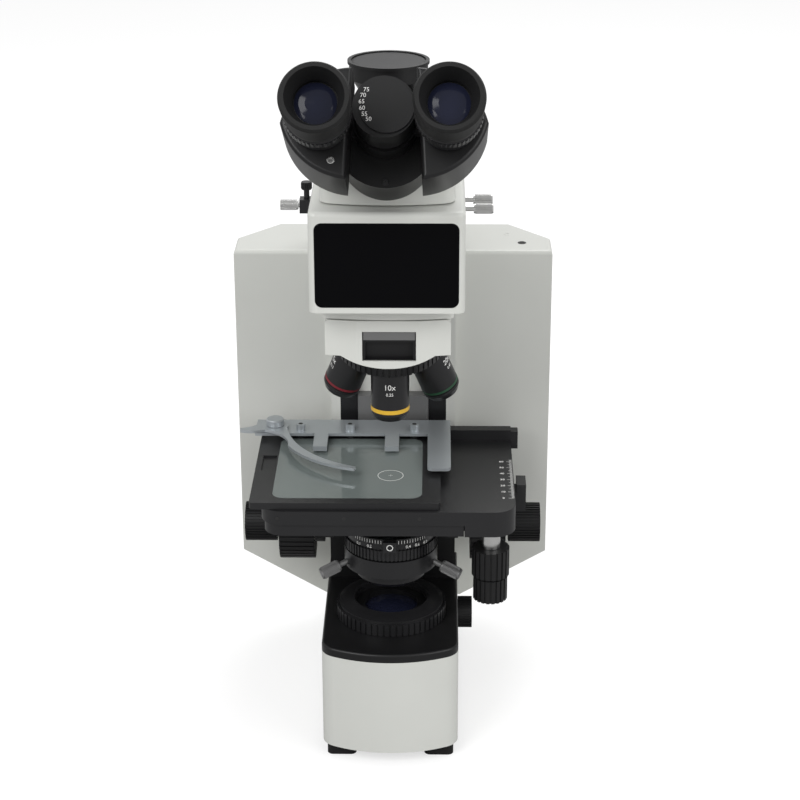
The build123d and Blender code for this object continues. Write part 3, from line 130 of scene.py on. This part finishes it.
nodeFinish = {
    "warmPaint": ["base_casting", "column", "rear_housing", "rear_cover", "upper_arm", "nosepiece_arm",
                  "illuminator_housing", "head_base"],
    "blackPaint": ["base_deck", "focus_block", "tube_body", "left_prism_housing", "right_prism_housing",
                   "stage_bracket"],
    "mattePlastic": ["rear_fittings", "switch_rocker", "slider", "interpupillary_dial", "dust_cap",
                     "intensity_dial", "coarse_knobs", "fine_knobs", "y_drive_knob", "x_drive_knob",
                     "condenser_knob"],
    "anodised": ["nosepiece_mount", "turret", "objective_10x", "objective_5x", "objective_100x",
                 "objective_50x", "objective_20x", "left_eyepiece", "right_eyepiece", "left_dioptre_ring",
                 "right_dioptre_ring", "clamp_block", "clamp_screw", "field_ring", "focus_guides",
                 "condenser_body", "condenser_carrier", "aperture_ring"],
    "stageTop": ["stage_base", "y_plate", "x_plate"],
    "cupRubber": ["feet", "left_eyecup", "right_eyecup"],
    "glossDisplay": ["display_panel"],
    "satinHolder": ["specimen_holder", "clip_lever"],
    "turnedSteel": ["front_push_rod", "back_push_rod", "left_rod"],
    "slideGrey": ["focus_carriage", "centring_screws"],
    "stageGlass": ["stage_glass"],
    "clearLens": ["condenser_lens"],
    "coatedLens": ["field_lens"],
}
for name, members in nodeFinish.items():
    for member in members:
        nodes[member].data.materials.clear()
        nodes[member].data.materials.append(finish[name])
print("finishes on the carried-over nodes")


def placePiece(mesh, name, material, body):
    piece = bpy.data.objects.new(name, mesh)
    scene.collection.objects.link(piece)
    mesh.materials.clear()
    mesh.materials.append(finish[material])
    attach(piece, body)
    return piece


def meshPiece(build, name, matrix, material, body):
    bmesh.ops.transform(build, matrix=matrix, verts=build.verts)
    mesh = bpy.data.meshes.new(name)
    build.to_mesh(mesh)
    build.free()
    return placePiece(mesh, name, material, body)


def axisMatrix(origin, axis, up):
    # local Z along the axis, local Y towards up
    zDir = Vector(axis).normalized()
    xDir = Vector(up).cross(zDir).normalized()
    yDir = zDir.cross(xDir)
    turn = Matrix((xDir, yDir, zDir)).transposed().to_4x4()
    return Matrix.Translation(Vector(origin)) @ turn


def shiftMatrix(x, y, z):
    return Matrix.Translation(Vector((x, y, z)) * mm)


def lathe(name, matrix, profile, material, body, steps=64):
    # profile: radius and height pairs, closed to a solid of revolution
    build = bmesh.new()
    rings = []
    for step in range(steps):
        angle = 2 * pi * step / steps
        rings.append([build.verts.new((r * mm * cos(angle), r * mm * sin(angle), z * mm))
                      for r, z in profile])
    count = len(profile)
    for step in range(steps):
        here, there = rings[step], rings[(step + 1) % steps]
        for k in range(count):
            n = (k + 1) % count
            build.faces.new((here[k], there[k], there[n], here[n]))
    bmesh.ops.remove_doubles(build, verts=build.verts, dist=weldGap)
    bmesh.ops.dissolve_degenerate(build, edges=build.edges, dist=weldGap)
    bmesh.ops.recalc_face_normals(build, faces=build.faces)
    return meshPiece(build, name, matrix, material, body)


def ribbedSleeve(name, matrix, grip, material, body):
    # straight ribs round a knob, a ring or a rod head, with two corners out and two in on each rib
    corners = grip["ribs"] * 4
    build = bmesh.new()
    rows = []
    for z, ribbed in ((grip["start"], True), (grip["start"] + grip["length"], True),
                      (grip["start"] + grip["length"], False), (grip["start"], False)):
        row = []
        for k in range(corners):
            outside = grip["outer"] if k % 4 < 2 else grip["outer"] - grip["depth"]
            radius = outside if ribbed else grip["inner"]
            angle = 2 * pi * k / corners
            row.append(build.verts.new((radius * mm * cos(angle), radius * mm * sin(angle), z * mm)))
        rows.append(row)
    for here, there in zip(rows, rows[1:] + rows[:1]):
        for k in range(corners):
            n = (k + 1) % corners
            build.faces.new((here[k], here[n], there[n], there[k]))
    bmesh.ops.recalc_face_normals(build, faces=build.faces)
    return meshPiece(build, name, matrix, material, body)


def wrapVerts(verts, radius):
    # local X becomes an arc round the Y axis that lies one radius behind the face
    if radius > 0:
        for v in verts:
            reach = radius * mm + v.co.z
            angle = v.co.x / (radius * mm)
            v.co.x, v.co.z = reach * sin(angle), reach * cos(angle) - radius * mm


def bars(name, boxes, material, body, matrix=Matrix.Identity(4), wrap=0.0):
    # flat bars, each given by two opposite corners; wrap is the radius of the barrel that they lie on
    build = bmesh.new()
    for low, high in boxes:
        made = bmesh.ops.create_cube(build, size=1.0)["verts"]
        size = [(b - a) * mm for a, b in zip(low, high)]
        middle = [(a + b) / 2 * mm for a, b in zip(low, high)]
        for v in made:
            v.co = Vector([m + c * s for m, c, s in zip(middle, v.co, size)])
    wrapVerts(build.verts, wrap)
    return meshPiece(build, name, matrix, material, body)


letterShape = {"thick": 0.05, "curveSteps": 3}


def lettering(name, words, size, matrix, body, wrap=0.0, thick=letterShape["thick"]):
    curve = bpy.data.curves.new(name, "FONT")
    curve.body = words
    curve.size = size * mm
    curve.extrude = thick * mm
    curve.align_x = "CENTER"
    curve.align_y = "CENTER"
    curve.resolution_u = letterShape["curveSteps"]
    holder = bpy.data.objects.new(name + "Curve", curve)
    scene.collection.objects.link(holder)
    bpy.context.view_layer.update()
    mesh = bpy.data.meshes.new_from_object(holder.evaluated_get(bpy.context.evaluated_depsgraph_get()))
    bpy.data.objects.remove(holder)
    wrapVerts(mesh.vertices, wrap)
    mesh.transform(matrix)
    mesh.name = name
    return placePiece(mesh, name, "whiteInk", body)


# screw head with a round socket: sunk is in millimetres, the rest are shares of its radius or height
screw = {"sunk": -0.3, "edge": 0.6, "top": 0.85, "socket": 0.52, "socketFloor": 0.35}


def screwHead(name, matrix, radius, height, body, material="turnedSteel"):
    socket = radius * screw["socket"]
    lathe(name, matrix, [(0, screw["sunk"]), (radius, screw["sunk"]), (radius, height * screw["edge"]),
                         (radius * screw["top"], height), (socket, height),
                         (socket, height * screw["socketFloor"]), (0, height * screw["socketFloor"])],
          material, body, steps=24)


# printed marks start just below their surface and stand just above it
ink = {"low": -0.02, "high": 0.06}

# tube head
head = {"start": Vector((0, -75, 441.5)), "tilt": 30.0, "wingFront": 45.8}
headAxis = Vector((0, -cos(radians(head["tilt"])), sin(radians(head["tilt"]))))
headUp = Vector((0, sin(radians(head["tilt"])), cos(radians(head["tilt"]))))


def headMatrix(start, x, lift):
    place = head["start"] + headAxis * start + headUp * lift + Vector((x, 0, 0))
    return axisMatrix(place * mm, headAxis, headUp)


eyeDial = {"numerals": ["75", "70", "65", "60", "55", "50"], "face": 50.62, "lift": 10.6, "radius": 13.0,
           "size": 3.6, "firstAngle": 142, "stepAngle": 17}
for k, words in enumerate(eyeDial["numerals"]):
    angle = radians(eyeDial["firstAngle"] + eyeDial["stepAngle"] * k)
    spot = headMatrix(eyeDial["face"], eyeDial["radius"] * cos(angle),
                      eyeDial["lift"] + eyeDial["radius"] * sin(angle))
    lettering("dialNumeral" + words, words, eyeDial["size"], spot, "stand")

indexDots = {"left": (-21.6, 17.6), "right": (21.6, 26.0),
             "profile": [(0, -0.1), (0.9, -0.1), (0.9, 0.06), (0, 0.06)]}
for side in ("left", "right"):
    lathe(side + "IndexDot", headMatrix(head["wingFront"], *indexDots[side]), indexDots["profile"],
          "whiteInk", side + "_tube", steps=20)

wingScrew = {"x": -30.8, "lift": -22.0, "radius": 2.2, "height": 0.7}
drumScrew = {"start": 2.0, "x": 0, "lift": -24.2, "radius": 2.1, "height": 0.6}
screwHead("wingScrew", headMatrix(head["wingFront"], wingScrew["x"], wingScrew["lift"]), wingScrew["radius"],
          wingScrew["height"], "left_tube")
screwHead("drumScrew", headMatrix(drumScrew["start"], drumScrew["x"], drumScrew["lift"]), drumScrew["radius"],
          drumScrew["height"], "stand", "anodised")

eyepiece = {
    "x": {"left": -37.5, "right": 37.5},
    "lens": [(0, 39.3), (12.1, 39.3), (12.1, 40.8), (9.5, 41.5), (6.0, 42.0), (0, 42.3)],
    "grip": {"outer": 19.9, "inner": 19.1, "start": 19.0, "length": 6.0, "ribs": 48, "depth": 0.45},
    "sleeveRadius": 17.0, "marksFrom": 11.6, "marksPerSide": 3, "markSpacing": 3, "markWidth": 0.3,
    "markFoot": -1.0, "middleMarkFoot": -1.6, "markHead": 1.0,
}
for side, x in eyepiece["x"].items():
    base = headMatrix(head["wingFront"], x, 0)
    lathe(side + "EyeLens", base, eyepiece["lens"], "coatedLens", side + "_tube")
    ribbedSleeve(side + "DioptreGrip", base, eyepiece["grip"], "anodised", side + "_dioptre")
    half = eyepiece["markWidth"] / 2
    marks = []
    for k in range(-eyepiece["marksPerSide"], eyepiece["marksPerSide"] + 1):
        middle = k * eyepiece["markSpacing"]
        foot = eyepiece["markFoot"] if k else eyepiece["middleMarkFoot"]
        marks.append(((middle - half, foot, ink["low"]), (middle + half, eyepiece["markHead"], ink["high"])))
    top = (head["start"] + headAxis * (head["wingFront"] + eyepiece["marksFrom"])
           + headUp * eyepiece["sleeveRadius"] + Vector((x, 0, 0)))
    bars(side + "DioptreMarks", marks, "whiteInk", side + "_tube",
         axisMatrix(top * mm, headUp, headAxis), wrap=eyepiece["sleeveRadius"])

portCap = {"y": 6, "z": 473.25, "disc": [(0, 0), (22.8, 0), (22.8, 0.25), (22.0, 0.35), (0, 0.35)]}
lathe("capDisc", shiftMatrix(0, portCap["y"], portCap["z"]), portCap["disc"], "capDisc", "port_cap")
print("tube head dressed")

# objectives, turned round the leaning axis of the nosepiece; the first is the working one
objectives = {
    "apex": Vector((0, 0, 332)), "shoulder": 65.0, "cone": 22.0, "turn": 72.0,
    "set": [("objective10", "10x", "0.25", 35.0, "yellowBand"),
            ("objective5", "5x", "0.13", 33.5, "redBand"),
            ("objective100", "100x", "0.80", 37.0, "whiteInk"),
            ("objective50", "50x", "0.60", 38.0, "blueBand"),
            ("objective20", "20x", "0.40", 36.0, "greenBand")],
    "bandInner": 12.6, "bandOuter": 12.98, "bandFromTip": 9.6, "bandHeight": 1.7, "workingBandHeight": 2.8,
    "lensRadius": 3.2, "noseRadius": 4.8, "noseDepth": 0.9,
    # depths behind the tip
    "noseEdge": 0.05, "noseHole": 0.3, "lensEdge": 0.6, "lensMiddle": 0.45,
    # name, size and distance from the shoulder of each line of lettering
    "lines": (("Power", 5.4, 9.0), ("Aperture", 3.0, 14.0)), "letteringRadius": 12.86,
}
coneAxis = Vector((0, sin(radians(objectives["cone"])), -cos(radians(objectives["cone"]))))
for k, (name, power, aperture, length, band) in enumerate(objectives["set"]):
    down = Matrix.Rotation(radians(objectives["turn"] * k), 3, coneAxis) @ Vector((0, 0, -1))
    outward = (down - coneAxis * down.dot(coneAxis)).normalized()
    outward = (outward - down * outward.dot(down)).normalized()
    seat = objectives["apex"] + down * objectives["shoulder"]
    base = axisMatrix(seat * mm, down, outward)
    low, high = objectives["bandInner"], objectives["bandOuter"]
    top = length - objectives["bandFromTip"]
    end = top + (objectives["bandHeight"] if k else objectives["workingBandHeight"])
    lathe(name + "Band", base, [(low, top), (high, top), (high, end), (low, end)], band, "nosepiece")
    lensRadius, noseRadius = objectives["lensRadius"], objectives["noseRadius"]
    inside = length - objectives["noseDepth"]
    lathe(name + "Nose", base,
          [(lensRadius, inside), (noseRadius, inside), (noseRadius, length - objectives["noseEdge"]),
           (lensRadius, length - objectives["noseHole"])], "turnedSteel", "nosepiece")
    lathe(name + "FrontLens", base,
          [(0, inside), (lensRadius, inside), (lensRadius, length - objectives["lensEdge"]),
           (0, length - objectives["lensMiddle"])], "coatedLens", "nosepiece", steps=32)
    radius = objectives["letteringRadius"]
    for words, (part, size, drop) in zip((power, aperture), objectives["lines"]):
        face = axisMatrix((seat + down * drop + outward * radius) * mm, outward, -down)
        lettering(name + part, words, size, face, "nosepiece", wrap=radius)
print("objectives dressed")

# slider, rods and clamp of the arm, and the marks on top of the rear housing
# two opposite corners of the slider's pale band
sliderBand = ((-15.6, -55.95, 308.2), (17.2, -55.7, 313.6))
bars("sliderBand", [sliderBand], "slideGrey", "arm_slider")

rodGrips = {
    "height": 381.0,
    "grip": {"outer": 3.45, "inner": 2.9, "start": 1.0, "length": 10.5, "ribs": 28, "depth": 0.3},
    "set": [("frontRodGrip", "front_rod", 54.5, -9.5), ("backRodGrip", "back_rod", 54.5, 11.0),
            ("sideRodGrip", "side_rod", -58.5, -2.0)],
}
for name, body, x, y in rodGrips["set"]:
    outwards = (1 if x > 0 else -1, 0, 0)
    spot = axisMatrix(Vector((x, y, rodGrips["height"])) * mm, outwards, upward)
    ribbedSleeve(name, spot, rodGrips["grip"], "turnedSteel", body)

clamp = {"place": Vector((-53.0, -2.0, 385.5)),
         "grip": {"outer": 3.6, "inner": 3.0, "start": 6.6, "length": 3.8, "ribs": 20, "depth": 0.35}}
ribbedSleeve("clampGrip", axisMatrix(clamp["place"] * mm, upward, (0, 1, 0)), clamp["grip"], "anodised",
             "rod_clamp")

# x, y, radius and height, then finish and slot
housingTop = {"z": 314.9,
              "set": [("housingTopScrew", 91.5, 124.0, 3.0, 0.5, "darkScrewAndSocketShade", "black_plastic"),
                      ("housingTopDimple", 81.5, 144.0, 2.4, 0.35, "warmPaint", "paint")]}
for name, x, y, radius, height, material, slot in housingTop["set"]:
    screwHead(name, shiftMatrix(x, y, housingTop["z"]), radius, height, "stand", material)
print("arm and housing dressed")

# stage: scale along the right edge, small screws, marks on the glass, and dark hexagons as painted shade in
# the sockets of the holder's screws
# lengths holds a step and the length of its ticks, and the first step that fits counts
crossScale = {"edge": 83.4, "from": -25, "to": 38, "width": 0.2, "low": 183.97, "high": 184.05,
              "lengths": ((10, 3.8), (5, 2.8), (1, 1.8)), "numerals": 7, "numeralStep": 10,
              "numeralX": 76.2, "numeralZ": 184.03, "numeralSize": 3.2}
ticks = []
for k, y in enumerate(range(crossScale["from"], crossScale["to"] + 1)):
    length = next(tall for step, tall in crossScale["lengths"] if k % step == 0)
    edge, half = crossScale["edge"], crossScale["width"] / 2
    ticks.append(((edge - length, y - half, crossScale["low"]), (edge, y + half, crossScale["high"])))
bars("crossScale", ticks, "whiteInk", "stage_y")
for k in range(crossScale["numerals"]):
    mark = crossScale["numeralStep"] * k
    spot = shiftMatrix(crossScale["numeralX"], crossScale["from"] + mark, crossScale["numeralZ"])
    lettering("crossNumeral" + str(k), str(mark), crossScale["numeralSize"], spot, "stage_y")

plateScrews = {"x": (-74.0, -30.0, 20.0), "y": -48.0, "z": 179.0, "radius": 1.3, "height": 0.15}
for k, x in enumerate(plateScrews["x"]):
    spot = axisMatrix(Vector((x, plateScrews["y"], plateScrews["z"])) * mm, towardsViewer, upward)
    screwHead("plateScrew" + str(k), spot, plateScrews["radius"], plateScrews["height"], "stage_y", "darkScrewAndSocketShade")

glassMark = {"z": 188.99, "inner": 8.4, "outer": 8.75, "arm": 1.5, "half": 0.08, "thick": 0.05}
glassTop = shiftMatrix(0, 0, glassMark["z"])
inner, outer, thick = glassMark["inner"], glassMark["outer"], glassMark["thick"]
lathe("glassRing", glassTop, [(inner, 0), (outer, 0), (outer, thick), (inner, thick)], "whiteInk", "stage_x")
arm, half = glassMark["arm"], glassMark["half"]
bars("glassCross", [((-arm, -half, 0), (arm, half, thick)), ((-half, -arm, 0), (half, arm, thick))],
     "whiteInk", "stage_x", glassTop)

# flat dark hexagons stand for the painted shade inside the holder's screw sockets, not for real hollows
socketShadeDiscs = {"x": (-65.0, -30.0, 15.5), "y": 66.0, "z": 199.3,
                 "profile": [(0, -0.3), (1.7, -0.3), (1.7, 0.08), (0, 0.08)]}
for k, x in enumerate(socketShadeDiscs["x"]):
    lathe("holderSocketShade" + str(k), shiftMatrix(x, socketShadeDiscs["y"], socketShadeDiscs["z"]),
          socketShadeDiscs["profile"], "darkScrewAndSocketShade", "stage_x", steps=6)

driveSleeve = {"place": (68.0, -25.0, 148.3), "profile": [(6.05, 0), (6.5, 0), (6.5, 17.0), (6.05, 17.0)]}
lathe("driveSleeve", shiftMatrix(*driveSleeve["place"]), driveSleeve["profile"], "turnedSteel", "y_drive")
print("stage dressed")

# condenser: aperture scale on the drum, index circle on its tab, grips of the centring screws
apertureScale = {"radius": 33.0, "z": 151.8, "numeralRadius": 33.02, "numeralZ": 150.2, "size": 3.0,
                 "numerals": [("0.1", -40), ("0.2", -25), ("0.4", 22), ("0.6", 34), ("0.9", 46)],
                 "reach": 26, "tickStep": 2, "tabHalf": 5, "tickHalf": 0.16, "tickFrom": 1.2, "tickTo": 3.6}
front = axisMatrix(Vector((0, -apertureScale["radius"], apertureScale["z"])) * mm, towardsViewer, upward)
ticks = []
half = apertureScale["tickHalf"]
for x in range(-apertureScale["reach"], apertureScale["reach"] + 1, apertureScale["tickStep"]):
    if abs(x) > apertureScale["tabHalf"]:
        ticks.append(((x - half, apertureScale["tickFrom"], ink["low"]),
                      (x + half, apertureScale["tickTo"], ink["high"])))
bars("condenserTicks", ticks, "whiteInk", "condenser", front, wrap=apertureScale["radius"])
for k, (words, degreesRound) in enumerate(apertureScale["numerals"]):
    angle = radians(degreesRound)
    out = Vector((sin(angle), -cos(angle), 0))
    spot = out * apertureScale["numeralRadius"] + upward * apertureScale["numeralZ"]
    lettering("condenserNumeral" + str(k), words, apertureScale["size"], axisMatrix(spot * mm, out, upward),
              "condenser", wrap=apertureScale["radius"])

indexCircle = {"place": Vector((0, -36.0, 151.8)),
               "profile": [(1.7, -0.1), (2.2, -0.1), (2.2, 0.08), (1.7, 0.08)]}
lathe("indexCircle", axisMatrix(indexCircle["place"] * mm, towardsViewer, upward), indexCircle["profile"],
      "whiteInk", "condenser", steps=32)

centring = {"swing": 20.0, "z": 141.0, "start": 27.5,
            "grip": {"outer": 4.35, "inner": 3.8, "start": 13.5, "length": 11.5, "ribs": 30, "depth": 0.35}}
swing = radians(centring["swing"])
for name, sign in (("leftCentringGrip", -1), ("rightCentringGrip", 1)):
    out = Vector((sign * cos(swing) * cos(swing), -cos(swing) * sin(swing), -sin(swing)))
    spot = axisMatrix((upward * centring["z"] + out * centring["start"]) * mm, out, upward)
    ribbedSleeve(name, spot, centring["grip"], "slideGrey", "condenser")

# marks of the lamp dial and of the mains switch
lampDial = {"face": Vector((56.8, 35.0, 66.5)), "mark": ((-0.2, 8.6, 0), (0.2, 10.2, 0.08))}
bars("lampDialMark", [lampDial["mark"]], "whiteInk", "lamp_dial",
     axisMatrix(lampDial["face"] * mm, (1, 0, 0), upward))
mainsSwitch = {"x": 30.0, "y": 172.6, "marks": (("I", 125.5), ("O", 114.5)), "size": 4.0, "thick": 0.3}
for words, z in mainsSwitch["marks"]:
    spot = axisMatrix(Vector((mainsSwitch["x"], mainsSwitch["y"], z)) * mm, (0, 1, 0), upward)
    lettering("switchMark" + words, words, mainsSwitch["size"], spot, "mains_switch",
              thick=mainsSwitch["thick"])
print("condenser and base dressed")

# camera as the photograph was taken, in metres and degrees
camera = {"place": (0.030, -1.290, 0.771), "down": 22.2, "turn": 1.04, "roll": -0.2, "lens": 93.6,
          "sensor": 36.0}
cameraData = bpy.data.cameras.new("camera")
cameraData.lens = camera["lens"]
cameraData.sensor_width = camera["sensor"]
cameraObject = bpy.data.objects.new("camera", cameraData)
scene.collection.objects.link(cameraObject)
aim = Matrix.Rotation(radians(camera["turn"]), 4, "Z") @ Matrix.Rotation(radians(90 - camera["down"]), 4, "X")
cameraObject.matrix_world = (Matrix.Translation(Vector(camera["place"])) @ aim
                             @ Matrix.Rotation(radians(camera["roll"]), 4, "Z"))
scene.camera = cameraObject

# pale floor: matte, with a glow that only the camera sees, so it is white and keeps the shadow
floorLook = {"grey": 0.42, "glow": 0.62, "reach": 8.0, "z": -0.0002}
floorMaterial = bpy.data.materials.new("paleFloor")
floorMaterial.use_nodes = True
floorTree = floorMaterial.node_tree
floorTree.nodes.clear()
matte = floorTree.nodes.new("ShaderNodeBsdfDiffuse")
matte.inputs["Color"].default_value = (floorLook["grey"], floorLook["grey"], floorLook["grey"], 1)
glow = floorTree.nodes.new("ShaderNodeEmission")
glow.inputs["Color"].default_value = (1, 1, 1, 1)
rays = floorTree.nodes.new("ShaderNodeLightPath")
share = floorTree.nodes.new("ShaderNodeMath")
share.operation = "MULTIPLY"
share.inputs[1].default_value = floorLook["glow"]
both = floorTree.nodes.new("ShaderNodeAddShader")
floorOut = floorTree.nodes.new("ShaderNodeOutputMaterial")
floorTree.links.new(rays.outputs["Is Camera Ray"], share.inputs[0])
floorTree.links.new(share.outputs[0], glow.inputs["Strength"])
floorTree.links.new(matte.outputs[0], both.inputs[0])
floorTree.links.new(glow.outputs[0], both.inputs[1])
floorTree.links.new(both.outputs[0], floorOut.inputs[0])
floorMesh = bpy.data.meshes.new("floor")
reach, z = floorLook["reach"], floorLook["z"]
floorMesh.from_pydata([(-reach, -reach, z), (reach, -reach, z), (reach, reach, z), (-reach, reach, z)], [],
                      [(0, 1, 2, 3)])
floorMesh.materials.append(floorMaterial)
floor = bpy.data.objects.new("floor", floorMesh)
scene.collection.objects.link(floor)

# even light all round, seen as plain white by the camera, and three soft lamps in watts
room = {"light": 0.66, "seen": 1.0}
world = bpy.data.worlds.new("paleRoom")
scene.world = world
world.use_nodes = True
worldTree = world.node_tree
background = worldTree.nodes["Background"]
background.inputs["Color"].default_value = (1, 1, 1, 1)
worldRays = worldTree.nodes.new("ShaderNodeLightPath")
level = worldTree.nodes.new("ShaderNodeMapRange")
level.inputs["To Min"].default_value = room["light"]
level.inputs["To Max"].default_value = room["seen"]
worldTree.links.new(worldRays.outputs["Is Camera Ray"], level.inputs["Value"])
worldTree.links.new(level.outputs["Result"], background.inputs["Strength"])

lamps = {"key": {"place": (-1.3, -1.7, 1.9), "size": 1.4, "power": 36},
         "fill": {"place": (1.6, -1.3, 1.2), "size": 1.6, "power": 21},
         "back": {"place": (0.4, 1.3, 1.9), "size": 1.2, "power": 18}}
lampsAimAt = Vector((0, 0, 0.25))
for name, lamp in lamps.items():
    data = bpy.data.lights.new(name, "AREA")
    data.size = lamp["size"]
    data.energy = lamp["power"]
    light = bpy.data.objects.new(name, data)
    scene.collection.objects.link(light)
    light.location = lamp["place"]
    light.rotation_euler = (lampsAimAt - Vector(lamp["place"])).to_track_quat("-Z", "Y").to_euler()
scene.view_settings.view_transform = "Standard"
print("camera and light set")
